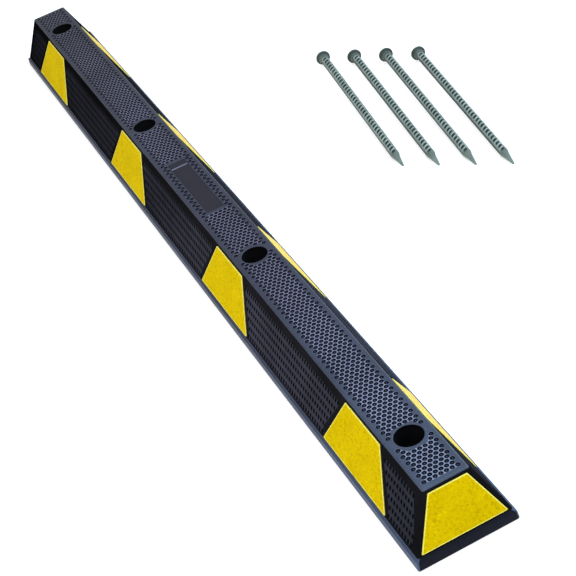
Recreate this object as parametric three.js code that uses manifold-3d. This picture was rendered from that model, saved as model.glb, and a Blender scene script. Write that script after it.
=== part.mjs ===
// Parking wheel stop: a solid rubber bar with ten reflective panels let into its sides and ends,
// and the four ribbed ground spikes that pin it down, laid on the ground beside it.
// Millimetres, +Z up. X runs along the bar, the origin is the middle of its underside.
import * as THREE from "three";
import { mergeVertices } from "three/addons/utils/BufferGeometryUtils.js";
import Module from "manifold-3d";

const wasm = await Module();
wasm.setup();

// Bar
const LENGTH = 1829;
const WIDTH = 152;
const HEIGHT = 102;
const FLANGE_HEIGHT = 13;
const FLANGE_DRAFT = 1;
const LEDGE_HEIGHT = 16;
const LEDGE_INSET = 4.5;
const TOP_HALF_WIDTH = 34;
const TOP_HALF_LENGTH = 890;
const EDGE_RADIUS = 4;
const EDGE_STEPS = 6;

// Spike holes along the middle of the top, each a counterbore over a shank hole
const HOLE_PITCH = 526;
const HOLE_COUNT = 4;
const COUNTERBORE_RADIUS = 21;
const COUNTERBORE_DEPTH = 32;
const SHANK_HOLE_RADIUS = 9.5;
const HOLE_SEGMENTS = 40;

// Blank plate moulded into the middle of the top, with a low bar near one end
const PLATE_LENGTH = 194;
const PLATE_WIDTH = 33;
const PLATE_DEPTH = 1;
const PLATE_BAR_WIDTH = 3.5;
const PLATE_BAR_OFFSET = 18;

// Reflective panels: trapezoids with their long edge down, each in a shallow recess
const PANEL_PITCH = 480;
const PANEL_THICKNESS = 1.8;
const PANEL_PROUD = 0.9;
const PANEL_GAP = 1.2;
const PANEL_BACK_GAP = 0.3;
const SIDE_PANEL = { top: 52.5, bottom: 96.5, low: 18, high: 96 };
const END_PANEL = { top: 29, bottom: 64.5, low: 19.5, high: 95.5 };

// Spikes: a slightly domed cap on a flared neck, a long shank and a blunt taper
const SPIKE_LENGTH = 457;
const SHANK_RADIUS = 8;
const HEAD_RADIUS = 14.5;
const HEAD_DOME = 1.2;
const HEAD_THICKNESS = 6;
const HEAD_CHAMFER = 1.2;
const NECK_RADIUS = 10.5;
const NECK_END = 17;
const TAPER_LENGTH = 42;
const TIP_RADIUS = 2.2;
const SPIKE_SEGMENTS = 24;
const SPIKE_COUNT = 4;
const SPIKE_YAW = -7.3 * Math.PI / 180;
const SPIKE_STEP = new THREE.Vector3(46, 47.4, 0);
const SPIKE_GROUP_CENTRE = new THREE.Vector3(-76, 444, 0);

const rubber = new THREE.MeshStandardMaterial({ color: 0x24242b, roughness: 0.72, metalness: 0 });
const film = new THREE.MeshStandardMaterial({ color: 0xe0cc05, roughness: 0.5, metalness: 0 });
const steel = new THREE.MeshStandardMaterial({ color: 0x6c7672, roughness: 0.45, metalness: 0.85 });

// A closed solid from any closed geometry, with its shared vertices merged.
function solid(geometry) {
  const bare = geometry.clone();
  bare.deleteAttribute("normal");
  bare.deleteAttribute("uv");
  const merged = mergeVertices(bare, 1e-5);
  return new wasm.Manifold(new wasm.Mesh({
    numProp: 3,
    vertProperties: new Float32Array(merged.attributes.position.array),
    triVerts: new Uint32Array(merged.index.array),
  }));
}

function geometryOf(manifold) {
  const mesh = manifold.getMesh();
  const geometry = new THREE.BufferGeometry();
  geometry.setAttribute("position", new THREE.BufferAttribute(mesh.vertProperties, 3));
  geometry.setIndex(new THREE.BufferAttribute(mesh.triVerts, 1));
  return geometry;
}

// Half of the bar's outline above the ground line, from the outer foot to the rounded top edge.
function outlineHalf(footHalf, topHalf) {
  const points = [
    new THREE.Vector2(footHalf, 0),
    new THREE.Vector2(footHalf - FLANGE_DRAFT, FLANGE_HEIGHT),
    new THREE.Vector2(footHalf - FLANGE_DRAFT - 1.2, FLANGE_HEIGHT + 1.8),
    new THREE.Vector2(footHalf - LEDGE_INSET, LEDGE_HEIGHT),
  ];
  const slope = Math.atan2(HEIGHT - LEDGE_HEIGHT, footHalf - LEDGE_INSET - topHalf);
  const tangent = EDGE_RADIUS * Math.tan(slope / 2);
  const centreAcross = topHalf - tangent;
  const centreUp = HEIGHT - EDGE_RADIUS;
  for (let i = 0; i <= EDGE_STEPS; i += 1) {
    const angle = Math.PI / 2 - slope + slope * (i / EDGE_STEPS);
    points.push(new THREE.Vector2(
      centreAcross + EDGE_RADIUS * Math.cos(angle),
      centreUp + EDGE_RADIUS * Math.sin(angle),
    ));
  }
  return points;
}

function outline(footHalf, topHalf) {
  const half = outlineHalf(footHalf, topHalf);
  const mirrored = half.map((p) => new THREE.Vector2(-p.x, p.y)).reverse();
  return new THREE.Shape([...half, ...mirrored]);
}

// The bar is what the cross-section run along X and the side profile run along Y have in common.
function barBody() {
  const section = new THREE.ExtrudeGeometry(outline(WIDTH / 2, TOP_HALF_WIDTH), {
    depth: LENGTH,
    bevelEnabled: false,
  });
  section.translate(0, 0, -LENGTH / 2);
  section.applyMatrix4(new THREE.Matrix4().makeBasis(
    new THREE.Vector3(0, 1, 0),
    new THREE.Vector3(0, 0, 1),
    new THREE.Vector3(1, 0, 0),
  ));
  const profile = new THREE.ExtrudeGeometry(outline(LENGTH / 2, TOP_HALF_LENGTH), {
    depth: WIDTH + 20,
    bevelEnabled: false,
  });
  profile.translate(0, 0, -(WIDTH + 20) / 2);
  profile.applyMatrix4(new THREE.Matrix4().makeBasis(
    new THREE.Vector3(1, 0, 0),
    new THREE.Vector3(0, 0, 1),
    new THREE.Vector3(0, -1, 0),
  ));
  return solid(section).intersect(solid(profile));
}

function upright(radius, low, high, x) {
  const cylinder = new THREE.CylinderGeometry(radius, radius, high - low, HOLE_SEGMENTS);
  cylinder.rotateX(Math.PI / 2);
  cylinder.translate(x, 0, (low + high) / 2);
  return solid(cylinder);
}

function slab(xLow, xHigh, halfWidth, low, high) {
  const box = new THREE.BoxGeometry(xHigh - xLow, 2 * halfWidth, high - low);
  box.translate((xLow + xHigh) / 2, 0, (low + high) / 2);
  return solid(box);
}

// Placement on one sloping face: u runs level along it, v runs up it, and their cross product
// points out of the bar. The origin is the middle of the face's lower edge.
function facePlacement(outward, footHalf, topHalf) {
  const lower = footHalf - LEDGE_INSET;
  const run = lower - topHalf;
  const rise = HEIGHT - LEDGE_HEIGHT;
  const up = outward.clone().multiplyScalar(-run).add(new THREE.Vector3(0, 0, rise)).normalize();
  const level = new THREE.Vector3(-outward.y, outward.x, 0);
  const normal = new THREE.Vector3().crossVectors(level, up);
  const origin = outward.clone().multiplyScalar(lower).setZ(LEDGE_HEIGHT);
  const perHeight = Math.hypot(run, rise) / rise;
  const matrix = new THREE.Matrix4().makeBasis(level, up, normal).setPosition(origin);
  return { matrix, perHeight };
}

// A trapezoid plate in face coordinates, from depth `from` to depth `to` along the normal.
function trapezoid(panel, perHeight, along, grow, from, to) {
  const low = (panel.low - LEDGE_HEIGHT) * perHeight;
  const high = (panel.high - LEDGE_HEIGHT) * perHeight;
  const lean = (panel.bottom - panel.top) / (high - low);
  const side = grow * Math.hypot(1, lean);
  const bottom = panel.bottom + side + grow * lean;
  const top = panel.top + side - grow * lean;
  const shape = new THREE.Shape([
    new THREE.Vector2(along - bottom, low - grow),
    new THREE.Vector2(along + bottom, low - grow),
    new THREE.Vector2(along + top, high + grow),
    new THREE.Vector2(along - top, high + grow),
  ]);
  const plate = new THREE.ExtrudeGeometry(shape, { depth: to - from, bevelEnabled: false });
  plate.translate(0, 0, from);
  return plate;
}

const PANEL_SITES = [];
for (let i = 0; i < 4; i += 1) {
  const along = (i - 1.5) * PANEL_PITCH;
  PANEL_SITES.push({
    name: `front_panel_${i + 1}`,
    panel: SIDE_PANEL,
    along,
    face: facePlacement(new THREE.Vector3(0, -1, 0), WIDTH / 2, TOP_HALF_WIDTH),
  });
  PANEL_SITES.push({
    name: `rear_panel_${i + 1}`,
    panel: SIDE_PANEL,
    along: -along,
    face: facePlacement(new THREE.Vector3(0, 1, 0), WIDTH / 2, TOP_HALF_WIDTH),
  });
}
PANEL_SITES.push({
  name: "end_panel_near",
  panel: END_PANEL,
  along: 0,
  face: facePlacement(new THREE.Vector3(1, 0, 0), LENGTH / 2, TOP_HALF_LENGTH),
});
PANEL_SITES.push({
  name: "end_panel_far",
  panel: END_PANEL,
  along: 0,
  face: facePlacement(new THREE.Vector3(-1, 0, 0), LENGTH / 2, TOP_HALF_LENGTH),
});

function makeBlock() {
  let bar = barBody();
  for (let i = 0; i < HOLE_COUNT; i += 1) {
    const x = (i - (HOLE_COUNT - 1) / 2) * HOLE_PITCH;
    bar = bar.subtract(upright(COUNTERBORE_RADIUS, HEIGHT - COUNTERBORE_DEPTH, HEIGHT + 5, x));
    bar = bar.subtract(upright(SHANK_HOLE_RADIUS, -5, HEIGHT, x));
  }
  const plateLow = HEIGHT - PLATE_DEPTH;
  const barLow = -PLATE_LENGTH / 2 + PLATE_BAR_OFFSET;
  const barHigh = barLow + PLATE_BAR_WIDTH;
  bar = bar.subtract(slab(-PLATE_LENGTH / 2, barLow, PLATE_WIDTH / 2, plateLow, HEIGHT + 2));
  bar = bar.subtract(slab(barHigh, PLATE_LENGTH / 2, PLATE_WIDTH / 2, plateLow, HEIGHT + 2));
  for (const site of PANEL_SITES) {
    const floor = PANEL_PROUD - PANEL_THICKNESS - PANEL_BACK_GAP;
    const cut = trapezoid(site.panel, site.face.perHeight, site.along, PANEL_GAP, floor, 3);
    cut.applyMatrix4(site.face.matrix);
    bar = bar.subtract(solid(cut));
  }
  return new THREE.Mesh(geometryOf(bar), rubber);
}

function makePanel(site) {
  const inner = PANEL_PROUD - PANEL_THICKNESS;
  const plate = trapezoid(site.panel, site.face.perHeight, site.along, 0, inner, PANEL_PROUD);
  const mesh = new THREE.Mesh(plate, film);
  mesh.name = site.name;
  site.face.matrix.decompose(mesh.position, mesh.quaternion, mesh.scale);
  return mesh;
}

// A spike turned about +Y, its head's outer face at the origin and its point at +Y.
function spikeGeometry() {
  const profile = [
    new THREE.Vector2(0, 0),
    new THREE.Vector2(HEAD_RADIUS - HEAD_CHAMFER, HEAD_DOME),
    new THREE.Vector2(HEAD_RADIUS, HEAD_DOME + HEAD_CHAMFER),
    new THREE.Vector2(HEAD_RADIUS, HEAD_THICKNESS - HEAD_CHAMFER),
    new THREE.Vector2(HEAD_RADIUS - HEAD_CHAMFER, HEAD_THICKNESS),
    new THREE.Vector2(NECK_RADIUS, HEAD_THICKNESS + 1),
    new THREE.Vector2(SHANK_RADIUS, NECK_END),
    new THREE.Vector2(SHANK_RADIUS, SPIKE_LENGTH - TAPER_LENGTH),
    new THREE.Vector2(TIP_RADIUS, SPIKE_LENGTH),
    new THREE.Vector2(0, SPIKE_LENGTH),
  ];
  const turned = new THREE.LatheGeometry(profile, SPIKE_SEGMENTS);
  return geometryOf(solid(turned));
}

// Each spike lies on the rim of its head and the lower end of its shank, so its axis dips slightly.
function makeSpike(index, geometry) {
  const reach = SPIKE_LENGTH - TAPER_LENGTH - (HEAD_THICKNESS - HEAD_CHAMFER);
  const dip = Math.atan((HEAD_RADIUS - SHANK_RADIUS) / reach);
  const height = HEAD_RADIUS * Math.cos(dip) + (HEAD_THICKNESS - HEAD_CHAMFER) * Math.sin(dip);
  const forward = new THREE.Vector3(
    Math.cos(SPIKE_YAW) * Math.cos(dip),
    Math.sin(SPIKE_YAW) * Math.cos(dip),
    -Math.sin(dip),
  );
  const across = new THREE.Vector3(-Math.sin(SPIKE_YAW), Math.cos(SPIKE_YAW), 0);
  const upward = new THREE.Vector3().crossVectors(forward, across);
  const mesh = new THREE.Mesh(geometry, steel);
  mesh.name = `spike_${index + 1}`;
  mesh.quaternion.setFromRotationMatrix(new THREE.Matrix4().makeBasis(
    across.clone().negate(),
    forward,
    upward,
  ));
  const middle = SPIKE_GROUP_CENTRE.clone();
  middle.addScaledVector(SPIKE_STEP, index - (SPIKE_COUNT - 1) / 2);
  mesh.position.set(
    middle.x - Math.cos(SPIKE_YAW) * SPIKE_LENGTH / 2,
    middle.y - Math.sin(SPIKE_YAW) * SPIKE_LENGTH / 2,
    height,
  );
  return mesh;
}

const wheelStop = new THREE.Group();
const block = makeBlock();
block.name = "block";
wheelStop.add(block);
for (const site of PANEL_SITES) {
  wheelStop.add(makePanel(site));
}
const spikes = new THREE.Group();
const spikeShape = spikeGeometry();
for (let i = 0; i < SPIKE_COUNT; i += 1) {
  spikes.add(makeSpike(i, spikeShape));
}
wheelStop.add(spikes);

export default wheelStop;
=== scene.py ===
import math

import bmesh
import bpy
from mathutils import Matrix, Vector, noise
from mathutils.geometry import delaunay_2d_cdt


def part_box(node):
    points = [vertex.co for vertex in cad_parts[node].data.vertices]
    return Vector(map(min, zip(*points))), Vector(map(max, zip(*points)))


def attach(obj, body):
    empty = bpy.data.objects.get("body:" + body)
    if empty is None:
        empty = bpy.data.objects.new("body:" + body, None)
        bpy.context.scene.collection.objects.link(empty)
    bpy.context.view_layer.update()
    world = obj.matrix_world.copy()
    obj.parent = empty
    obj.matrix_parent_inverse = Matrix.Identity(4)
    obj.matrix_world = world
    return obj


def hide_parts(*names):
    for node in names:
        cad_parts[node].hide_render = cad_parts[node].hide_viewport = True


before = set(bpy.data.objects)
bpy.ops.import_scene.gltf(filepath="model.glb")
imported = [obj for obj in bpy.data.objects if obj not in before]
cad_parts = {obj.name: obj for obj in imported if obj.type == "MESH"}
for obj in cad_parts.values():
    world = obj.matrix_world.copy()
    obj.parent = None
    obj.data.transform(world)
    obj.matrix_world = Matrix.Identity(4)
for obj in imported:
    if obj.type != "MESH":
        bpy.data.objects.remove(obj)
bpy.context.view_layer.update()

MM = 0.001
block_low, block_high = (Vector(c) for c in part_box("block"))
LENGTH = block_high.x - block_low.x
WIDTH = block_high.y - block_low.y
HEIGHT = block_high.z - block_low.z

# Bar: half sizes of its foot and of its top, as in the CAD model
FOOT = {"side": WIDTH / 2, "end": LENGTH / 2}
TOP = {"side": 34 * MM, "end": 890 * MM}
LEDGE_Z = 16 * MM
LEDGE_INSET = 4.5 * MM
EDGE_RADIUS = 4 * MM
SLOPE_LOW_Z = 16.6 * MM
SLOPE_HIGH_Z = 98.9 * MM
# heights of the turns of the rounded top edge, from the end of the slope to the top
EDGE_LEVELS = [SLOPE_HIGH_Z, 99.6 * MM, 100.3 * MM, 100.9 * MM, 101.4 * MM, 101.75 * MM, 101.94 * MM, HEIGHT]
DARK_EDGE_TURNS = 2
# inset from the foot and height of each turn of the flange, in millimetres
FLANGE_PROFILE = (
    (1.0, 0.0), (0.3, 0.3), (0.0, 1.0), (0.1, 4.0), (0.9, 11.6), (1.05, 12.6), (1.45, 13.4), (2.1, 13.95),
    (3.0, 14.3), (3.9, 14.8), (4.4, 15.6),
)
CORNER_STEPS = 6
LOOP_STEPS = 4
SLOPE_CORNER = 4 * MM
FOOT_CORNER = 2.4 * MM
TOP_CORNER = 1.6 * MM

HOLES_X = [(i - 1.5) * 526 * MM for i in range(4)]
BORE_RADIUS = 21 * MM
BORE_RIM = 1.3 * MM
BORE_FLOOR_Z = HEIGHT - 32 * MM
SHANK_HOLE_RADIUS = 9.5 * MM
ROUND_STEPS = 56
# radius and height of each turn of a hole: rolled rim, three shallow steps, seat and shank hole
BORE_PROFILE = (
    (BORE_RADIUS + BORE_RIM, HEIGHT),
    (BORE_RADIUS + 0.75 * MM, HEIGHT - 0.2 * MM),
    (BORE_RADIUS + 0.2 * MM, HEIGHT - 0.8 * MM),
    (BORE_RADIUS, HEIGHT - 1.8 * MM),
    (BORE_RADIUS - 0.1 * MM, HEIGHT - 9 * MM),
    (BORE_RADIUS - 1.0 * MM, HEIGHT - 9.8 * MM),
    (BORE_RADIUS - 1.1 * MM, HEIGHT - 18 * MM),
    (BORE_RADIUS - 2.0 * MM, HEIGHT - 18.8 * MM),
    (BORE_RADIUS - 2.1 * MM, BORE_FLOOR_Z + 1 * MM),
    (BORE_RADIUS - 3.0 * MM, BORE_FLOOR_Z),
    (SHANK_HOLE_RADIUS + 0.8 * MM, BORE_FLOOR_Z),
    (SHANK_HOLE_RADIUS, BORE_FLOOR_Z - 0.8 * MM),
    (SHANK_HOLE_RADIUS, 0.0),
)
BORE_RIM_TURNS = 2

PLATE_HALF_LENGTH = 97 * MM
PLATE_HALF_WIDTH = 16.5 * MM
PLATE_CORNER = 2.5 * MM
PLATE_DEPTH = 1 * MM
PLATE_DRAFT = 0.5 * MM
PLATE_BAR_X = -77.25 * MM
PLATE_BAR_HALF_WIDTH = 1.75 * MM
PLATE_BAR_END_GAP = 1.6 * MM
PLATE_BAR_TOP_DROP = 0.05 * MM

# Honeycomb of pits on the top
CELL_PITCH = 8.3 * MM
CELL_RADIUS = 3.9 * MM
CELL_DEPTH = 1.7 * MM
CELL_DEPTH_WOBBLE = 0.2 * MM
CELL_SIDES = 10
CELLS_ACROSS = (7, 6)
CELL_HOLE_CLEARANCE = 0.2 * MM
CELL_PLATE_CLEARANCE_X = 0.6 * MM
CELL_PLATE_CLEARANCE_Y = 0.3 * MM
ROW_STEP = CELL_PITCH * math.sqrt(3) / 2
FIELD_MARGIN = 7.5 * MM
# half width of the band of the top whose ridges carry the painted highlight
FIELD_HALF_WIDTH = 24 * MM

# Dimples of the long sides
DIMPLE_PITCH = 8 * MM
DIMPLE_ROWS = [23.5 * MM + 12.1 * MM * i for i in range(6)]
DIMPLE_HALF_U = 2.4 * MM
DIMPLE_HALF_V = 3.5 * MM
DIMPLE_CUT = 0.9 * MM
DIMPLE_DEPTH = 2.4 * MM
DIMPLE_DRAFT_U = 0.5 * MM
DIMPLE_DRAFT_V = 0.6 * MM
DIMPLE_END_MARGIN = 17 * MM
DIMPLE_PANEL_MARGIN = 8.5 * MM
DIMPLE_FOOT = 4 * MM

# Reflective panels: half lengths of their upper and lower edges, and their heights over the ground
PANEL_PITCH = 480 * MM
PANELS_ALONG = [(i - 1.5) * PANEL_PITCH for i in range(4)]
SIDE_PANEL = {"top": 52.5 * MM, "bottom": 96.5 * MM, "low": 18 * MM, "high": 96 * MM}
END_PANEL = {"top": 29 * MM, "bottom": 64.5 * MM, "low": 19.5 * MM, "high": 95.5 * MM}
PANEL_GAP = 1.3 * MM
RECESS_DEPTH = 1.2 * MM
RECESS_DRAFT = 0.1 * MM
RECESS_CORNER = 1.6 * MM
RECESS_FLOOR_CORNER = 1.5 * MM
# distance out from the edge and height over the face of each turn of a film's rim, in millimetres
FILM_PROFILE = ((0.0, -0.9), (0.0, 0.45), (-0.18, 0.72), (-0.5, 0.88), (-0.95, 0.9), (-1.5, 0.82))
FILM_CORNER = 1.3
FILM_LEAST_CORNER = 0.35
FILM_RIM = 1.5 * MM
FILM_HEIGHT = 0.82 * MM
FILM_GRID = 2.6 * MM
CRINKLE_DEPTH = 0.16 * MM
CRINKLE_SCALE = 60

# Spikes
SPIKE_LENGTH = 457 * MM
SHANK_RADIUS = 8 * MM
CORE_RADIUS = 6.95 * MM
HEAD_RADIUS = 14.5 * MM
RIM_START = 2.4 * MM
RIM_END = 4.8 * MM
TAPER_LENGTH = 42 * MM
TIP_RADIUS = 2.2 * MM
TAPER_STEPS = 16
NECK_END = 17 * MM
RING_STEP = 1.3 * MM
RIB_PITCH = 11.2 * MM
RIB_SLANT = 4.2 * MM
RIB_REACH = 2.9 * MM
RIB_RUN_IN = 6 * MM
RIB_FULLNESS = 1.7
TAPER_RADIUS = 7.4 * MM
TIP_SETBACK = 0.3 * MM
# sines of the angle round the shank between which the plain flanks give way to ribs, and painted shade to
# painted highlight on the steel
FLANK_TO_RIBS = (0.76, 0.9)
FLANK_SHADE_TO_HIGHLIGHT = (0.4, 0.75)
SPIKE_YAW = math.radians(-7.3)
SPIKE_TURN = 0.12
SPIKE_TURN_CHANGE = 0.05
AROUND = 48
# radius, distance along and paleness of each turn of a spike's head and neck, in millimetres; the paleness is
# painted highlight on the rim and painted shade under the head
HEAD_PROFILE = (
    (0.01, 0.1, 0.45), (6.0, 0.25, 0.45), (11.0, 0.8, 0.5), (13.2, 1.3, 0.75), (14.1, 1.9, 1.0),
    (14.5, 2.7, 0.9), (14.5, 4.2, 0.6), (14.0, 5.2, 0.35), (12.6, 5.9, 0.25), (10.6, 6.9, 0.3),
    (9.4, 9.0, 0.4), (8.5, 12.0, 0.45), (7.9, 15.0, 0.4),
)
FORGED_RADIUS = 10
FORGED_DENT = 0.04


# ---------------------------------------------------------------- mesh helpers

class Shell:
    """Collects faces with a material number and a smooth flag, then welds them into one mesh."""

    def __init__(self):
        self.points = []
        self.faces = []
        self.kinds = []
        self.smooth = []

    def add(self, points, faces, kind=0, smooth=False):
        start = len(self.points)
        self.points.extend(tuple(p) for p in points)
        for face in faces:
            self.faces.append(tuple(start + i for i in face))
            self.kinds.append(kind)
            self.smooth.append(smooth)

    def quad(self, a, b, c, d, kind=0, smooth=False):
        self.add((a, b, c, d), ((0, 1, 2, 3),), kind, smooth)

    def object(self, name, materials):
        mesh = bpy.data.meshes.new(name)
        mesh.from_pydata(self.points, [], self.faces)
        mesh.polygons.foreach_set("material_index", self.kinds)
        mesh.polygons.foreach_set("use_smooth", self.smooth)
        for material in materials:
            mesh.materials.append(material)
        build = bmesh.new()
        build.from_mesh(mesh)
        bmesh.ops.remove_doubles(build, verts=build.verts, dist=2e-6)
        build.to_mesh(mesh)
        build.free()
        thing = bpy.data.objects.new(name, mesh)
        bpy.context.collection.objects.link(thing)
        return thing


def circle(cx, cy, radius, steps):
    angles = [2 * math.pi * i / steps for i in range(steps)]
    return [Vector((cx + radius * math.cos(angle), cy + radius * math.sin(angle))) for angle in angles]


def sleeve(count):
    """Four-sided faces joining a loop of `count` points to the loop listed after it."""
    return [(i, (i + 1) % count, count + (i + 1) % count, count + i) for i in range(count)]


def fill(outline, openings):
    """Triangles of a flat region, inside the outline and outside every opening, as 2-D points and faces.

    The openings may not touch one another or the outline.
    """
    points = []
    edges = []
    for loop in [outline, *openings]:
        start = len(points)
        points.extend(loop)
        edges.extend((start + i, start + (i + 1) % len(loop)) for i in range(len(loop)))
    found, _, faces, origin, _, _ = delaunay_2d_cdt(points, edges, [], 0, 1e-7)
    # the region is found by flooding in from the outline, and every loop stops the flood
    wall = {(min(a, b), max(a, b)) for a, b in edges}
    name = {new: old[-1] for new, old in enumerate(origin) if old}
    around = {}
    for number, face in enumerate(faces):
        for a, b in zip(face, face[1:] + face[:1]):
            around.setdefault((min(a, b), max(a, b)), []).append(number)

    def is_wall(edge):
        a, b = name.get(edge[0], -1), name.get(edge[1], -1)
        return (min(a, b), max(a, b)) in wall

    outside = len(outline)
    kept = set()
    queue = []
    for edge, numbers in around.items():
        a, b = name.get(edge[0], -1), name.get(edge[1], -1)
        if is_wall(edge) and 0 <= a < outside and 0 <= b < outside and len(numbers) == 1:
            queue.append(numbers[0])
            kept.add(numbers[0])
    while queue:
        face = faces[queue.pop()]
        for a, b in zip(face, face[1:] + face[:1]):
            edge = (min(a, b), max(a, b))
            if is_wall(edge):
                continue
            for other in around[edge]:
                if other not in kept:
                    kept.add(other)
                    queue.append(other)
    flat = []
    for number in kept:
        face = faces[number]
        a, b, c = (found[i] for i in face[:3])
        turned = (b - a).cross(c - a) < 0
        flat.append(tuple(reversed(face)) if turned else tuple(face))
    return found, flat


# ---------------------------------------------------------------- outline of the bar

def half_at(kind, z):
    """Half width ("side") or half length ("end") of the bar at height z."""
    foot, top = FOOT[kind], TOP[kind]
    lower = foot - LEDGE_INSET
    slope = math.atan2(HEIGHT - LEDGE_Z, lower - top)
    centre = top - EDGE_RADIUS * math.tan(slope / 2)
    rise = z - (HEIGHT - EDGE_RADIUS)
    if rise > EDGE_RADIUS * math.cos(slope):
        return centre + math.sqrt(max(0.0, EDGE_RADIUS ** 2 - rise ** 2))
    return lower - (lower - top) * (z - LEDGE_Z) / (HEIGHT - LEDGE_Z)


def ring(half_length, half_width, radius, z):
    """Level rounded rectangle as four corner arcs, anticlockwise from the +X +Y corner."""
    arcs = []
    for number, (sx, sy) in enumerate(((1, 1), (-1, 1), (-1, -1), (1, -1))):
        cx = sx * (half_length - radius)
        cy = sy * (half_width - radius)
        arc = []
        for i in range(CORNER_STEPS + 1):
            angle = math.pi / 2 * (number + i / CORNER_STEPS)
            arc.append(Vector((cx + radius * math.cos(angle), cy + radius * math.sin(angle), z)))
        arcs.append(arc)
    return arcs


def band(shell, low, high, kind, smooth=True, straights=None):
    """Faces between two rings. `straights` gives the kinds of the rear, far, front and near stretches;
    None takes the corners' kind, and an empty tuple leaves the stretches open."""
    kinds = (kind,) * 4 if straights is None else straights
    for number in range(4):
        a, b = low[number], high[number]
        for i in range(CORNER_STEPS):
            shell.quad(a[i], a[i + 1], b[i + 1], b[i], kind, smooth)
        if kinds:
            c, d = low[(number + 1) % 4], high[(number + 1) % 4]
            shell.quad(a[-1], c[0], d[0], b[-1], kinds[number], smooth)


# ---------------------------------------------------------------- materials

def new_material(name):
    material = bpy.data.materials.new(name)
    material.use_nodes = True
    tree = material.node_tree
    return material, tree, tree.nodes["Principled BSDF"]


def node(tree, kind, **inputs):
    made = tree.nodes.new(kind)
    for key, value in inputs.items():
        made.inputs[key].default_value = value
    return made


def ramp(tree, source, stops):
    made = tree.nodes.new("ShaderNodeValToRGB")
    while len(made.color_ramp.elements) < len(stops):
        made.color_ramp.elements.new(0.5)
    for element, (position, colour) in zip(made.color_ramp.elements, stops):
        element.position = position
        element.color = (*colour, 1)
    tree.links.new(source, made.inputs["Fac"])
    return made.outputs["Color"]


def spread(tree, source, low, high):
    made = tree.nodes.new("ShaderNodeMapRange")
    made.inputs["To Min"].default_value = low
    made.inputs["To Max"].default_value = high
    tree.links.new(source, made.inputs["Value"])
    return made.outputs["Result"]


def noise_at(tree, place, scale, detail=4.0, roughness=0.55):
    made = node(tree, "ShaderNodeTexNoise", Scale=scale, Detail=detail, Roughness=roughness)
    tree.links.new(place, made.inputs["Vector"])
    return made.outputs["Fac"]


def bump(tree, height, strength, distance, under=None):
    made = node(tree, "ShaderNodeBump", Strength=strength, Distance=distance)
    tree.links.new(height, made.inputs["Height"])
    if under is not None:
        tree.links.new(under, made.inputs["Normal"])
    return made.outputs["Normal"]


def mixed(tree, factor, a, b, blend="MIX"):
    made = tree.nodes.new("ShaderNodeMix")
    made.data_type = "RGBA"
    made.blend_type = blend
    # input sockets 0, 6 and 7 and output socket 2 are the colour version's factor, A, B and result
    for value, socket in ((factor, made.inputs[0]), (a, made.inputs[6]), (b, made.inputs[7])):
        if isinstance(value, (int, float)):
            socket.default_value = value
        elif isinstance(value, tuple):
            socket.default_value = (*value, 1)
        else:
            tree.links.new(value, socket)
    return made.outputs[2]


# painted light and shade along the bar, multiplied into the rubber's colour, darkest at the far end; from the
# far end at 0 to the near end at 1
TOP_PAINTED_LIGHT = (
    (0.0, (0.45, 0.41, 0.46)),
    (0.28, (0.6, 0.54, 0.64)),
    (0.66, (0.58, 0.53, 0.65)),
    (0.83, (0.78, 0.8, 0.96)),
    (1.0, (0.92, 1.06, 1.25)),
)
SIDE_PAINTED_LIGHT = (
    (0.0, (0.3, 0.29, 0.24)),
    (0.28, (0.55, 0.53, 0.48)),
    (0.55, (1.0, 0.97, 0.88)),
    (0.8, (1.5, 1.4, 1.35)),
    (1.0, (0.8, 0.8, 0.72)),
)
GRAIN = 0.35


def rubber_material(name, dark, light, specular, rough, ramp_along=TOP_PAINTED_LIGHT):
    """Moulded rubber: cloudy tone, painted light and shade that change along the bar, fine crumb grain and a
    few paler specks.
    """
    material, tree, shader = new_material(name)
    place = tree.nodes.new("ShaderNodeTexCoord").outputs["Object"]
    clouds = noise_at(tree, place, 9, 5)
    crumb = noise_at(tree, place, 420, 6, 0.65)
    fine = noise_at(tree, place, 1500, 3, 0.6)
    cell = node(tree, "ShaderNodeTexVoronoi", Scale=310.0)
    tree.links.new(place, cell.inputs["Vector"])
    body = ramp(tree, clouds, ((0.3, dark), (0.7, light)))
    split = tree.nodes.new("ShaderNodeSeparateXYZ")
    tree.links.new(place, split.inputs["Vector"])
    along = node(tree, "ShaderNodeMapRange")
    along.inputs["From Min"].default_value = -LENGTH / 2
    along.inputs["From Max"].default_value = LENGTH / 2
    tree.links.new(split.outputs["X"], along.inputs["Value"])
    # painted light and shade along the bar, from the table given for this rubber
    painted_light_along = ramp(tree, along.outputs["Result"], ramp_along)
    body = mixed(tree, 1.0, body, painted_light_along, "MULTIPLY")
    grainy = ramp(tree, crumb, ((0.3, (0.72, 0.72, 0.74)), (0.72, (1.22, 1.22, 1.2))))
    colour = mixed(tree, 1.0, body, grainy, "MULTIPLY")
    speck = ramp(tree, cell.outputs["Distance"], ((0.0, (1.0, 1.0, 1.0)), (0.12, (0.0, 0.0, 0.0))))
    colour = mixed(tree, speck, colour, tuple(min(1.0, 2.2 * c + 0.01) for c in light))
    tree.links.new(colour, shader.inputs["Base Color"])
    tree.links.new(spread(tree, crumb, rough - 0.09, rough + 0.12), shader.inputs["Roughness"])
    shader.inputs["Specular IOR Level"].default_value = specular
    first = bump(tree, crumb, GRAIN, 0.0006)
    tree.links.new(bump(tree, fine, GRAIN * 0.7, 0.00025, first), shader.inputs["Normal"])
    return material


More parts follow.
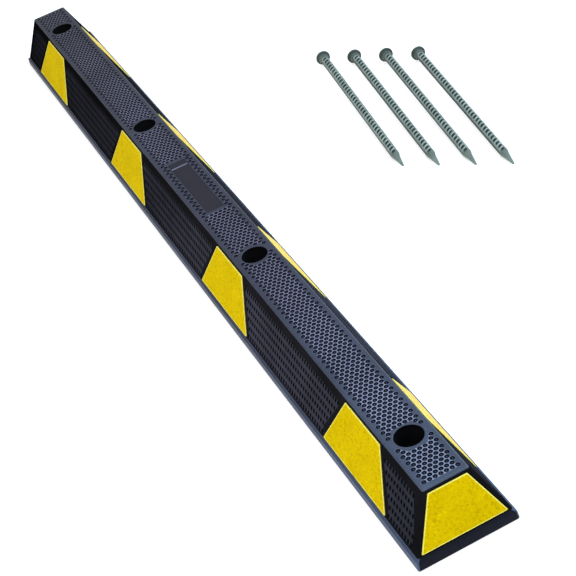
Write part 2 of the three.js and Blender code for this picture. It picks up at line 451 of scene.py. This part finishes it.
def film_material(name, dark, light, specular, sheen=0.1):
    """Reflective sheet: saturated yellow with fine leathery creases and a beaded grain."""
    material, tree, shader = new_material(name)
    place = tree.nodes.new("ShaderNodeTexCoord").outputs["Object"]
    clouds = noise_at(tree, place, 22, 3)
    crease = node(tree, "ShaderNodeTexNoise", Scale=260.0, Detail=4.0, Roughness=0.55, Distortion=0.8)
    tree.links.new(place, crease.inputs["Vector"])
    beads = node(tree, "ShaderNodeTexVoronoi", Scale=900.0)
    tree.links.new(place, beads.inputs["Vector"])
    body = ramp(tree, clouds, ((0.3, dark), (0.7, light)))
    # the colour follows the crinkle: painted shade in the creases and a painted highlight on their crests
    shade = ramp(tree, crease.outputs["Fac"], (
        (0.34, (0.74, 0.72, 0.6)),
        (0.46, (0.98, 0.98, 0.98)),
        (0.6, (1.02, 1.02, 1.0)),
        (0.68, (1.18, 1.2, 1.6)),
    ))
    colour = mixed(tree, 1.0, body, shade, "MULTIPLY")
    tree.links.new(colour, shader.inputs["Base Color"])
    tree.links.new(spread(tree, crease.outputs["Fac"], 0.66, 0.5), shader.inputs["Roughness"])
    shader.inputs["Specular IOR Level"].default_value = specular
    shader.inputs["Sheen Weight"].default_value = sheen
    shader.inputs["Sheen Roughness"].default_value = 0.25
    shader.inputs["Sheen Tint"].default_value = (1.0, 0.88, 0.6, 1)
    first = bump(tree, crease.outputs["Fac"], 0.8, 0.0012)
    tree.links.new(bump(tree, beads.outputs["Distance"], 0.2, 0.0003, first), shader.inputs["Normal"])
    return material


def steel_material():
    """Rolled rebar steel: grey green with mill-scale blotches; the ribs painted bright as highlight and the
    valleys between them painted much darker as shade.
    """
    material, tree, shader = new_material("spike_steel")
    place = tree.nodes.new("ShaderNodeTexCoord").outputs["Object"]
    blotch = noise_at(tree, place, 55, 6, 0.65)
    fine = noise_at(tree, place, 900, 4, 0.6)
    painted_steel_light = tree.nodes.new("ShaderNodeAttribute")
    painted_steel_light.attribute_name = "painted_steel_light"
    body = ramp(tree, blotch, (
        (0.28, (0.16, 0.2, 0.18)), (0.55, (0.25, 0.3, 0.275)), (0.78, (0.36, 0.41, 0.385)),
    ))
    # the steel's paleness: painted highlight on the ribs and the head's rim, painted shade in the valleys and
    # along the flanks
    valley = ramp(tree, painted_steel_light.outputs["Fac"], (
        (0.0, (0.07, 0.08, 0.075)), (0.3, (0.2, 0.21, 0.2)), (0.6, (0.7, 0.72, 0.7)), (1.0, (1.25, 1.27, 1.25)),
    ))
    colour = mixed(tree, 1.0, body, valley, "MULTIPLY")
    tree.links.new(colour, shader.inputs["Base Color"])
    shader.inputs["Metallic"].default_value = 0.25
    shader.inputs["Specular IOR Level"].default_value = 0.2
    tree.links.new(spread(tree, blotch, 0.42, 0.66), shader.inputs["Roughness"])
    first = bump(tree, blotch, 0.3, 0.0008)
    tree.links.new(bump(tree, fine, 0.25, 0.0002, first), shader.inputs["Normal"])
    return material


# name, darker and lighter colour, specular level and roughness of each shade of rubber; all are one dark
# rubber, and its shades are copies with painted light and shade
RUBBERS = [
    # the top's bluish grey is a painted sheen, the sky's reflection on the near-black rubber
    rubber_material("rubber_top_painted_sheen", (0.034, 0.043, 0.064), (0.052, 0.065, 0.095), 0.4, 0.45),
    # ridges between the pits, the pits' rims and the crest of the plate's bar: painted highlight
    rubber_material("rubber_ridge_painted_highlight", (0.19, 0.2, 0.25), (0.27, 0.285, 0.35), 0.5, 0.42),
    rubber_material("rubber_side", (0.007, 0.007, 0.009), (0.012, 0.012, 0.0155), 0.0, 0.72, SIDE_PAINTED_LIGHT),
    # ground between the dimples: painted highlight
    rubber_material("rubber_field_painted_highlight", (0.023, 0.024, 0.034), (0.04, 0.042, 0.06), 0.0, 0.62, SIDE_PAINTED_LIGHT),
    # flange and ledge of the long sides: painted sheen of the sky
    rubber_material("rubber_flange_painted_sheen", (0.033, 0.046, 0.078), (0.055, 0.08, 0.128), 0.3, 0.5),
    rubber_material("rubber_end", (0.007, 0.007, 0.010), (0.012, 0.012, 0.017), 0.06, 0.66),
    # inside of the pits and the dimples: painted shade
    rubber_material("rubber_pit_painted_shade", (0.003, 0.003, 0.008), (0.006, 0.006, 0.014), 0.1, 0.7),
    # button in each pit: painted highlight
    rubber_material("rubber_button_painted_highlight", (0.05, 0.054, 0.085), (0.08, 0.088, 0.13), 0.2, 0.6),
    rubber_material("rubber_plate", (0.025, 0.025, 0.033), (0.038, 0.038, 0.047), 0.2, 0.55),
    # walls of the spike holes: painted near black as shade
    rubber_material("rubber_bore_painted_shade", (0.0015, 0.0015, 0.002), (0.0035, 0.0035, 0.004), 0.06, 0.7),
]
(
    TOP_KIND, RIDGE_KIND, SIDE_KIND, FIELD_KIND, FLANGE_KIND,
    END_KIND, PIT_KIND, BUTTON_KIND, PLATE_KIND, BORE_KIND,
) = range(len(RUBBERS))
# the same for the films, with their sheen; the rim and the rear sheets are painted paler as highlight
FILMS = [
    film_material("reflective_yellow", (0.63, 0.445, 0.0008), (0.7, 0.5, 0.0012), 0.0),
    film_material("reflective_edge_painted_highlight", (0.86, 0.78, 0.1), (0.92, 0.86, 0.16), 0.1),
    film_material("reflective_rear_painted_light", (0.9, 0.56, 0.07), (0.97, 0.65, 0.13), 0.0, 0.55),
]
FILM_FACE, FILM_EDGE, FILM_REAR = range(len(FILMS))
steel = steel_material()


# ---------------------------------------------------------------- top of the bar

def cell_sites():
    """Honeycomb of round pits over the top, clear of its edges, the holes and the plate."""
    rows = int((TOP["end"] - EDGE_RADIUS - FIELD_MARGIN) / ROW_STEP)
    hole_reach = BORE_RADIUS + BORE_RIM + CELL_RADIUS + CELL_HOLE_CLEARANCE
    plate_reach_x = PLATE_HALF_LENGTH + CELL_RADIUS + CELL_PLATE_CLEARANCE_X
    plate_reach_y = PLATE_HALF_WIDTH + CELL_RADIUS + CELL_PLATE_CLEARANCE_Y
    sites = []
    for row in range(-rows, rows + 1):
        x = row * ROW_STEP
        count = CELLS_ACROSS[row % 2]
        for i in range(count):
            y = (i - (count - 1) / 2) * CELL_PITCH
            if any(math.hypot(x - hx, y) < hole_reach for hx in HOLES_X):
                continue
            if abs(x) < plate_reach_x and abs(y) < plate_reach_y:
                continue
            sites.append((x, y))
    return sites


def add_cell(shell, x, y):
    """One pit: a round recess with a small button standing in its middle."""
    depth = CELL_DEPTH + CELL_DEPTH_WOBBLE * noise.noise(Vector((x * 41.0, y * 57.0, 3.1)))
    # radius, height over the top and kind of each turn, from the rim to the button's crown
    # the pit's walls and floor take the rubber painted dark as shade, the button the rubber painted pale as
    # highlight
    rings = (
        (CELL_RADIUS, 0.0, RIDGE_KIND),
        (CELL_RADIUS - 0.2 * MM, -0.22 * MM, PIT_KIND),
        (CELL_RADIUS - 0.5 * MM, -depth, PIT_KIND),
        (1.35 * MM, -depth - 0.1 * MM, PIT_KIND),
        (0.85 * MM, -0.6 * MM, BUTTON_KIND),
    )
    for (outer, start, kind), (inner, end, _) in zip(rings, rings[1:]):
        upper, lower = circle(x, y, outer, CELL_SIDES), circle(x, y, inner, CELL_SIDES)
        walls(shell, upper, HEIGHT + start, lower, HEIGHT + end, kind)
    radius, rise, kind = rings[-1]
    cap = [(p.x, p.y, HEIGHT + rise) for p in circle(x, y, radius, CELL_SIDES)]
    cap.append((x, y, HEIGHT + rise + 0.15 * MM))
    shell.add(cap, [(i, (i + 1) % CELL_SIDES, CELL_SIDES) for i in range(CELL_SIDES)], kind, True)


def plate_loop(half_length, half_width):
    """Rounded rectangle of the plate or of its floor."""
    loop = []
    for number, (sx, sy) in enumerate(((1, 1), (-1, 1), (-1, -1), (1, -1))):
        for i in range(LOOP_STEPS + 1):
            angle = math.pi / 2 * (number + i / LOOP_STEPS)
            loop.append(Vector((
                sx * (half_length - PLATE_CORNER) + PLATE_CORNER * math.cos(angle),
                sy * (half_width - PLATE_CORNER) + PLATE_CORNER * math.sin(angle),
            )))
    return loop


def walls(shell, upper, upper_z, lower, lower_z, kind):
    """Smooth band of faces from an upper loop down to a lower one, facing into the opening."""
    points = [(p.x, p.y, upper_z) for p in upper] + [(p.x, p.y, lower_z) for p in lower]
    shell.add(points, sleeve(len(upper)), kind, True)


def add_plate(shell, plate):
    """Shallow tray for a name plate, with a low bar across it near the far end."""
    tray = plate_loop(PLATE_HALF_LENGTH - PLATE_DRAFT, PLATE_HALF_WIDTH - PLATE_DRAFT)
    low = HEIGHT - PLATE_DEPTH
    walls(shell, plate, HEIGHT, tray, low, TOP_KIND)
    bar = [
        Vector((PLATE_BAR_X + sx * PLATE_BAR_HALF_WIDTH, sy * (PLATE_HALF_WIDTH - PLATE_BAR_END_GAP)))
        for sx, sy in ((1, 1), (-1, 1), (-1, -1), (1, -1))
    ]
    points, faces = fill(tray, [bar])
    shell.add([(p.x, p.y, low) for p in points], faces, PLATE_KIND)
    crest = [Vector((PLATE_BAR_X + (p.x - PLATE_BAR_X) * 0.6, p.y * 0.98)) for p in bar]
    crest_z = HEIGHT - PLATE_BAR_TOP_DROP
    for i in range(4):
        j = (i + 1) % 4
        shell.quad((*bar[i], low), (*bar[j], low), (*crest[j], crest_z), (*crest[i], crest_z), RIDGE_KIND)
    shell.quad(*((*p, crest_z) for p in crest), RIDGE_KIND)


def add_top_edges(shell):
    """Rounded edges from the top down to the sloping faces."""
    rings = []
    for z in EDGE_LEVELS:
        shrink = (z - SLOPE_HIGH_Z) / (HEIGHT - SLOPE_HIGH_Z)
        corner = SLOPE_CORNER + (TOP_CORNER - SLOPE_CORNER) * shrink
        rings.append(ring(half_at("end", z), half_at("side", z), corner, z))
    # the lowest turns of the edge take the dark side rubber, the upper ones the top's painted sheen
    for number, (a, b) in enumerate(zip(rings, rings[1:])):
        band(shell, a, b, SIDE_KIND if number < DARK_EDGE_TURNS else TOP_KIND)


def add_bore(shell, x):
    """One spike hole, from its rim to the underside."""
    # the rim takes the top's rubber; below it the hole's walls are painted near black as shade
    for number, (a, b) in enumerate(zip(BORE_PROFILE, BORE_PROFILE[1:])):
        upper = circle(x, 0, a[0], ROUND_STEPS)
        lower = circle(x, 0, b[0], ROUND_STEPS)
        walls(shell, upper, a[1], lower, b[1], TOP_KIND if number < BORE_RIM_TURNS else BORE_KIND)


def build_top():
    """Top face with its pits, plate, holes and rounded edges."""
    shell = Shell()
    edge = ring(half_at("end", HEIGHT), half_at("side", HEIGHT), TOP_CORNER, HEIGHT)
    outline = [p.to_2d() for arc in edge for p in arc]
    rims = [circle(x, 0, BORE_RADIUS + BORE_RIM, ROUND_STEPS) for x in HOLES_X]
    plate = plate_loop(PLATE_HALF_LENGTH, PLATE_HALF_WIDTH)
    sites = cell_sites()
    pits = [circle(x, y, CELL_RADIUS, CELL_SIDES) for x, y in sites]
    points, faces = fill(outline, [*rims, plate, *pits])
    flat = [(p.x, p.y, HEIGHT) for p in points]
    # the ridges between the pits carry a painted highlight, paler than the margins and the strip round the
    # plate
    first_pit = len(outline) + len(rims) * ROUND_STEPS + len(plate)
    for face in faces:
        x, y = (sum(points[i][axis] for i in face) / len(face) for axis in (0, 1))
        by_plate = abs(x) < PLATE_HALF_LENGTH + CELL_PITCH and abs(y) < PLATE_HALF_WIDTH + CELL_PITCH
        ridge = min(face) >= first_pit and abs(y) < FIELD_HALF_WIDTH and not by_plate
        shell.add([flat[i] for i in face], [tuple(range(len(face)))], RIDGE_KIND if ridge else TOP_KIND)
    for x, y in sites:
        add_cell(shell, x, y)
    add_plate(shell, plate)
    add_top_edges(shell)
    for x in HOLES_X:
        add_bore(shell, x)
    return shell.object("bar_top", RUBBERS)


# ---------------------------------------------------------------- sloping faces

class Face:
    """Coordinates on one sloping face: u level along it, v up it, depth along its normal."""

    def __init__(self, outward, kind):
        lower = FOOT[kind] - LEDGE_INSET
        run = lower - TOP[kind]
        rise = HEIGHT - LEDGE_Z
        self.other = "end" if kind == "side" else "side"
        self.stretch = math.hypot(run, rise) / rise
        self.up = (-run * outward + Vector((0, 0, rise))).normalized()
        self.level = Vector((-outward.y, outward.x, 0))
        self.normal = self.level.cross(self.up)
        self.origin = outward * lower + Vector((0, 0, LEDGE_Z))

    def v(self, z):
        return (z - LEDGE_Z) * self.stretch

    def place(self, u, v, depth=0.0):
        return self.origin + self.level * u + self.up * v + self.normal * depth

    def half(self, z, radius):
        """Half length of the flat part of this face at height z, up to its rounded corners."""
        return half_at(self.other, z) - radius


FRONT = Face(Vector((0, -1, 0)), "side")
REAR = Face(Vector((0, 1, 0)), "side")
NEAR = Face(Vector((1, 0, 0)), "end")
FAR = Face(Vector((-1, 0, 0)), "end")


def panel_loop(face, panel, along, grow, radius):
    """Trapezoid with rounded corners in face coordinates, anticlockwise from the lower left."""
    low, high = face.v(panel["low"]), face.v(panel["high"])
    lean = (panel["bottom"] - panel["top"]) / (high - low)
    side = grow * math.hypot(1, lean)
    bottom = panel["bottom"] + side + grow * lean
    top = panel["top"] + side - grow * lean
    low, high = low - grow, high + grow
    corners = [Vector((along - bottom, low)), Vector((along + bottom, low)),
               Vector((along + top, high)), Vector((along - top, high))]
    loop = []
    for i, corner in enumerate(corners):
        back = (corners[i - 1] - corner).normalized()
        ahead = (corners[(i + 1) % 4] - corner).normalized()
        half_angle = back.angle(ahead) / 2
        reach = radius / math.tan(half_angle)
        centre = corner + (back + ahead).normalized() * (radius / math.sin(half_angle))
        a = corner + back * reach - centre
        b = corner + ahead * reach - centre
        turn = a.angle_signed(b)
        for step in range(LOOP_STEPS + 1):
            loop.append(centre + Matrix.Rotation(-turn * step / LOOP_STEPS, 2) @ a)
    return loop


def panel_half(face, panel, v):
    """Half length of a panel at a distance up its face."""
    low, high = face.v(panel["low"]), face.v(panel["high"])
    share = (v - low) / (high - low)
    return panel["bottom"] + (panel["top"] - panel["bottom"]) * share


def dimple_sites(face):
    """Rows of small upright pits between the panels of a long side."""
    sites = []
    for z in DIMPLE_ROWS:
        v = face.v(z)
        count = int((half_at("end", z) - DIMPLE_END_MARGIN) / DIMPLE_PITCH)
        # a panel is at its widest, for a dimple, at the dimple's foot
        reach = panel_half(face, SIDE_PANEL, v - DIMPLE_FOOT) + DIMPLE_PANEL_MARGIN
        for i in range(-count, count + 1):
            u = i * DIMPLE_PITCH
            if all(abs(u - centre) >= reach for centre in PANELS_ALONG):
                sites.append((u, v))
    return sites


def dimple_loop(u, v, half_u, half_v):
    """Upright rectangle with cut corners round a point of a face."""
    short_u, short_v = half_u - DIMPLE_CUT, half_v - DIMPLE_CUT
    corners = (
        (-short_u, -half_v), (short_u, -half_v), (half_u, -short_v), (half_u, short_v),
        (short_u, half_v), (-short_u, half_v), (-half_u, short_v), (-half_u, -short_v),
    )
    return [Vector((u + a, v + b)) for a, b in corners]


def add_recess(shell, face, rim, floor, depth, kind):
    """Flat-floored recess in a face, from a rim loop down to a floor loop."""
    count = len(rim)
    points = [face.place(*p) for p in rim] + [face.place(*p, -depth) for p in floor]
    shell.add(points, sleeve(count), kind)
    shell.add(points[count:], [tuple(range(count))], kind)


def add_dimple(shell, face, u, v):
    """One upright pit with steep walls."""
    outer = dimple_loop(u, v, DIMPLE_HALF_U, DIMPLE_HALF_V)
    inner = dimple_loop(u, v, DIMPLE_HALF_U - DIMPLE_DRAFT_U, DIMPLE_HALF_V - DIMPLE_DRAFT_V)
    # the dimple's walls and floor are painted dark as shade
    add_recess(shell, face, outer, inner, DIMPLE_DEPTH, PIT_KIND)


def build_slope(shell, face, panels, dimples):
    """One sloping face with the recesses of its panels and, on a long side, its dimples."""
    low, high = SLOPE_LOW_Z, SLOPE_HIGH_Z
    bottom, top = face.half(low, SLOPE_CORNER), face.half(high, SLOPE_CORNER)
    outline = [Vector((-bottom, face.v(low))), Vector((bottom, face.v(low))),
               Vector((top, face.v(high))), Vector((-top, face.v(high)))]
    rims = [panel_loop(face, panel, along, PANEL_GAP, RECESS_CORNER) for panel, along in panels]
    pits = dimple_sites(face) if dimples else []
    dimple_rims = [dimple_loop(u, v, DIMPLE_HALF_U, DIMPLE_HALF_V) for u, v in pits]
    points, faces = fill(outline, rims + dimple_rims)
    placed = [face.place(p.x, p.y) for p in points]
    # the ground between the dimples is painted paler than the margins, as highlight standing for the dimples'
    # lit walls: its faces touch dimples only
    first_dimple = len(outline) + sum(len(rim) for rim in rims)
    shell.add(placed, [f for f in faces if min(f) >= first_dimple], FIELD_KIND)
    shell.add(placed, [f for f in faces if min(f) < first_dimple], SIDE_KIND)
    for u, v in pits:
        add_dimple(shell, face, u, v)
    for (panel, along), rim in zip(panels, rims):
        floor = panel_loop(face, panel, along, PANEL_GAP - RECESS_DRAFT, RECESS_FLOOR_CORNER)
        add_recess(shell, face, rim, floor, RECESS_DEPTH, SIDE_KIND)


def build_sides():
    """Sloping faces, flange, ledge and underside."""
    shell = Shell()
    for face in (FRONT, REAR):
        build_slope(shell, face, [(SIDE_PANEL, along) for along in PANELS_ALONG], True)
    for face in (NEAR, FAR):
        build_slope(shell, face, [(END_PANEL, 0.0)], False)
    # corners of the sloping part
    low = ring(half_at("end", SLOPE_LOW_Z), half_at("side", SLOPE_LOW_Z), SLOPE_CORNER, SLOPE_LOW_Z)
    high = ring(half_at("end", SLOPE_HIGH_Z), half_at("side", SLOPE_HIGH_Z), SLOPE_CORNER, SLOPE_HIGH_Z)
    band(shell, low, high, SIDE_KIND, True, ())
    # flange and ledge: a painted bluish sheen on the long sides, darker at the two ends
    rings = [
        ring(FOOT["end"] - inset * MM, FOOT["side"] - inset * MM, FOOT_CORNER, z * MM)
        for inset, z in FLANGE_PROFILE
    ]
    rings.append(low)
    for a, b in zip(rings, rings[1:]):
        band(shell, a, b, FLANGE_KIND, True, (FLANGE_KIND, END_KIND, FLANGE_KIND, END_KIND))
    # underside
    outline = [p.to_2d() for arc in rings[0] for p in arc]
    points, faces = fill(outline, [circle(x, 0, SHANK_HOLE_RADIUS, ROUND_STEPS) for x in HOLES_X])
    shell.add([(p.x, p.y, 0.0) for p in points], [tuple(reversed(f)) for f in faces], SIDE_KIND)
    return shell.object("bar_sides", RUBBERS)


# ---------------------------------------------------------------- reflective panels

def build_panel(name, face, panel, along):
    """Thin sheet with a rolled rim, its surface gently crinkled. The rim is painted paler as a highlight, and
    the rear ones are painted paler and more orange, as light seen at a grazing angle.
    """
    shell = Shell()
    loops = []
    for grow, height in FILM_PROFILE:
        loop = panel_loop(face, panel, along, grow * MM, max(FILM_LEAST_CORNER, FILM_CORNER + grow) * MM)
        loops.append([face.place(*p, height * MM) for p in loop])
    count = len(loops[0])
    for a, b in zip(loops, loops[1:]):
        shell.add(a + b, sleeve(count), FILM_EDGE, True)
    shell.add(loops[0], [tuple(reversed(range(count)))], FILM_FACE)
    # crinkled middle: a grid inside the rim
    edge = panel_loop(face, panel, along, -FILM_RIM, FILM_LEAST_CORNER * MM)
    low, high = face.v(panel["low"]) + FILM_RIM, face.v(panel["high"]) - FILM_RIM
    inside = []
    rows = int((high - low) / FILM_GRID)
    for row in range(1, rows):
        v = low + (high - low) * row / rows
        half = panel_half(face, panel, v) - FILM_RIM * 1.15
        columns = int(2 * half / FILM_GRID)
        for column in range(1, columns):
            u = -half + 2 * half * column / columns
            inside.append(Vector((along + u, v)))
    points = edge + inside
    edges = [(i, (i + 1) % len(edge)) for i in range(len(edge))]
    found, _, faces, _, _, _ = delaunay_2d_cdt(points, edges, [], 1, 1e-7)
    placed = []
    for number, p in enumerate(found):
        height = FILM_HEIGHT
        if number >= len(edge):
            spot = Vector((p.x * CRINKLE_SCALE, p.y * CRINKLE_SCALE, len(name) * 1.7))
            height -= CRINKLE_DEPTH * abs(noise.fractal(spot, 0.9, 2.0, 3))
        placed.append(face.place(p.x, p.y, height))
    turned = []
    for f in faces:
        a, b, c = (found[i] for i in f[:3])
        turned.append(tuple(reversed(f)) if (b - a).cross(c - a) < 0 else tuple(f))
    shell.add(placed, turned, FILM_REAR if face is REAR else FILM_FACE, True)
    return shell.object(name, FILMS)


# ---------------------------------------------------------------- spikes

def hump(distance, reach):
    """Rounded rise: 1 at distance 0, falling to 0 at the reach."""
    return max(0.0, 1 - (distance / reach) ** 2)


def between(value, low, high):
    """Share of the way from low to high, kept within 0 and 1."""
    return min(1.0, max(0.0, (value - low) / (high - low)))


def rib_height(angle, along):
    """How far up a rib a point of the shank is, 0 to 1.

    Plain bands run down both flanks, with a ladder of slanting ribs between them above and below.
    """
    facing = abs(math.sin(angle))
    slant = RIB_SLANT * math.cos(angle) * math.copysign(1, math.sin(angle))
    phase = ((along + slant) / RIB_PITCH) % 1.0
    slanting = min(1.0, RIB_FULLNESS * hump(abs(phase - 0.5) * RIB_PITCH, RIB_REACH))
    return max(1 - between(facing, *FLANK_TO_RIBS), slanting)


def rib_painted_light(angle, along):
    """Paleness of the steel: ribs painted bright as highlight, the outer flanks and the valleys painted dark as
    shade.
    """
    return rib_height(angle, along) * (0.22 + 0.78 * between(abs(math.sin(angle)), *FLANK_SHADE_TO_HIGHLIGHT))


def build_spike(name, turn):
    """Forged head and flared neck, ribbed shank and blunt four-sided taper, skinned as rings along the axis.

    The spike lies on the ground on its head's rim and its tip.
    """
    low, high = (Vector(c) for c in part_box(name))
    dip = math.atan((HEAD_RADIUS - SHANK_RADIUS) / (SPIKE_LENGTH - TAPER_LENGTH - RIM_END))
    forward = Vector((
        math.cos(SPIKE_YAW) * math.cos(dip), math.sin(SPIKE_YAW) * math.cos(dip), -math.sin(dip),
    ))
    across = Vector((-math.sin(SPIKE_YAW), math.cos(SPIKE_YAW), 0))
    upward = forward.cross(across)
    start = Vector((
        high.x - TIP_RADIUS * across.x - SPIKE_LENGTH * forward.x,
        high.y - HEAD_RADIUS * across.y - RIM_START * forward.y,
        HEAD_RADIUS * math.cos(dip) + RIM_END * math.sin(dip),
    ))
    points = []
    painted_steel_light = []

    def add_ring(along, radius_at, raised_at):
        for i in range(AROUND):
            angle = 2 * math.pi * i / AROUND
            spoke = across * math.cos(angle + turn) + upward * math.sin(angle + turn)
            points.append(start + forward * along + spoke * radius_at(angle))
            painted_steel_light.append(raised_at(angle))

    for radius, along, pale in HEAD_PROFILE:
        dent = FORGED_DENT * radius if radius > FORGED_RADIUS else 0.0

        def forged(angle, radius=radius, dent=dent, along=along):
            wobble = abs(noise.noise(Vector((math.cos(angle), math.sin(angle), 0.2 * along + 3 * turn))))
            return (radius - dent * wobble) * MM

        add_ring(along * MM, forged, lambda angle, pale=pale: pale)
    taper_start = SPIKE_LENGTH - TAPER_LENGTH
    steps = int((taper_start - NECK_END) / RING_STEP)
    for i in range(steps + 1):
        along = NECK_END + (taper_start - NECK_END) * i / steps
        ramp_along = min(1.0, (along - NECK_END) / RIB_RUN_IN + 0.1)

        def ribbed(angle, along=along, ramp_along=ramp_along):
            return CORE_RADIUS + (SHANK_RADIUS - CORE_RADIUS) * rib_height(angle, along) * ramp_along

        add_ring(along, ribbed, lambda angle, along=along: rib_painted_light(angle, along))
    for i in range(1, TAPER_STEPS + 1):
        share = i / TAPER_STEPS
        along = taper_start + (TAPER_LENGTH - TIP_SETBACK) * share

        def tapered(angle, share=share, along=along):
            square = 1 - 0.1 * min(1.0, 2 * share) * math.cos(4 * angle)
            plain = TAPER_RADIUS * (1 - share) + TIP_RADIUS * 0.9 * share
            rib = (SHANK_RADIUS - CORE_RADIUS) * rib_height(angle, along) * max(0.0, 1 - share * 4)
            return plain * square + rib

        add_ring(along, tapered, lambda angle, share=share: 0.5 + 0.2 * share)
    count = len(points) // AROUND
    faces = []
    for level in range(count - 1):
        a, b = level * AROUND, (level + 1) * AROUND
        faces.extend((a + i, b + i, b + (i + 1) % AROUND, a + (i + 1) % AROUND) for i in range(AROUND))
    faces.append(tuple(range(AROUND)))
    faces.append(tuple(reversed(range((count - 1) * AROUND, count * AROUND))))
    mesh = bpy.data.meshes.new(name + "_ribbed")
    mesh.from_pydata(points, [], faces)
    mesh.attributes.new("painted_steel_light", "FLOAT", "POINT").data.foreach_set("value", painted_steel_light)
    mesh.polygons.foreach_set("use_smooth", [True] * len(mesh.polygons))
    mesh.materials.append(steel)
    thing = bpy.data.objects.new(name + "_ribbed", mesh)
    bpy.context.collection.objects.link(thing)
    return thing


# ---------------------------------------------------------------- pieces

for piece in (build_top(), build_sides()):
    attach(piece, "bar")
    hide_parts("block")

for i in range(4):
    for face, label, sign in ((FRONT, "front", 1), (REAR, "rear", -1)):
        piece = build_panel(f"{label}_film_{i + 1}", face, SIDE_PANEL, sign * PANELS_ALONG[i])
        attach(piece, "bar")
        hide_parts(f"{label}_panel_{i + 1}")
for face, label in ((NEAR, "near"), (FAR, "far")):
    piece = build_panel(f"end_film_{label}", face, END_PANEL, 0.0)
    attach(piece, "bar")
    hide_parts(f"end_panel_{label}")
for i in range(4):
    piece = build_spike(f"spike_{i + 1}", SPIKE_TURN + SPIKE_TURN_CHANGE * (-1) ** i)
    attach(piece, f"spike_{i + 1}_body")
    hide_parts(f"spike_{i + 1}")


# ---------------------------------------------------------------- floor, light and camera

def area_light(name, place, aim, size, power, colour):
    data = bpy.data.lights.new(name, "AREA")
    data.shape = "RECTANGLE"
    data.size, data.size_y = size
    data.energy = power
    data.color = colour
    light = bpy.data.objects.new(name, data)
    light.location = place
    light.rotation_euler = (Vector(aim) - Vector(place)).to_track_quat("-Z", "Y").to_euler()
    bpy.context.collection.objects.link(light)


FLOOR_HALF = 30
FLOOR_DROP = 0.5 * MM
CAMERA_PLACE = Vector((2.2547, -0.4513, 1.4954))
CAMERA_AIM = Vector((0.3118, 0.0231, 0.05))
CAMERA_ROLL = math.radians(-18.007)
CAMERA_LENS = 98.09

floor_mesh = bpy.data.meshes.new("floor")
floor_corners = [(sx * FLOOR_HALF, sy * FLOOR_HALF, 0) for sx, sy in ((-1, -1), (1, -1), (1, 1), (-1, 1))]
floor_mesh.from_pydata(floor_corners, [], [(0, 1, 2, 3)])
floor_material, _, floor_shader = new_material("pale_floor")
floor_shader.inputs["Base Color"].default_value = (0.92, 0.92, 0.92, 1)
floor_shader.inputs["Roughness"].default_value = 0.9
floor_shader.inputs["Specular IOR Level"].default_value = 0.1
floor_shader.inputs["Emission Color"].default_value = (1, 1, 1, 1)
floor_shader.inputs["Emission Strength"].default_value = 0.4
floor_mesh.materials.append(floor_material)
floor = bpy.data.objects.new("floor", floor_mesh)
floor.location.z = -FLOOR_DROP
bpy.context.collection.objects.link(floor)

world = bpy.data.worlds.new("studio")
world.use_nodes = True
background = world.node_tree.nodes["Background"]
background.inputs["Color"].default_value = (0.95, 0.97, 1.0, 1)
background.inputs["Strength"].default_value = 0.6
bpy.context.scene.world = world
bpy.context.scene.view_settings.view_transform = "Standard"

area_light("key", (1.5, -2.2, 3.2), (0.3, 0, 0), (2.0, 2.0), 60, (1.0, 0.98, 0.95))
area_light("sky", (0.6, 0.9, 1.8), (0.7, 0, 0.1), (1.2, 1.0), 26, (0.55, 0.8, 1.0))
area_light("rear", (0.1, 2.6, 1.1), (0, 0, 0.05), (2.6, 0.8), 30, (0.72, 0.86, 1.0))

camera_data = bpy.data.cameras.new("camera")
camera_data.sensor_width = 36
camera_data.lens = CAMERA_LENS
camera_data.clip_start = 0.05
camera = bpy.data.objects.new("camera", camera_data)
forward = (CAMERA_AIM - CAMERA_PLACE).normalized()
level = forward.cross(Vector((0, 0, 1))).normalized()
upright = level.cross(forward)
right = level * math.cos(CAMERA_ROLL) + upright * math.sin(CAMERA_ROLL)
camera.matrix_world = Matrix.Translation(CAMERA_PLACE) @ Matrix((
    right, right.cross(forward), -forward,
)).transposed().to_4x4()
bpy.context.collection.objects.link(camera)
bpy.context.scene.camera = camera
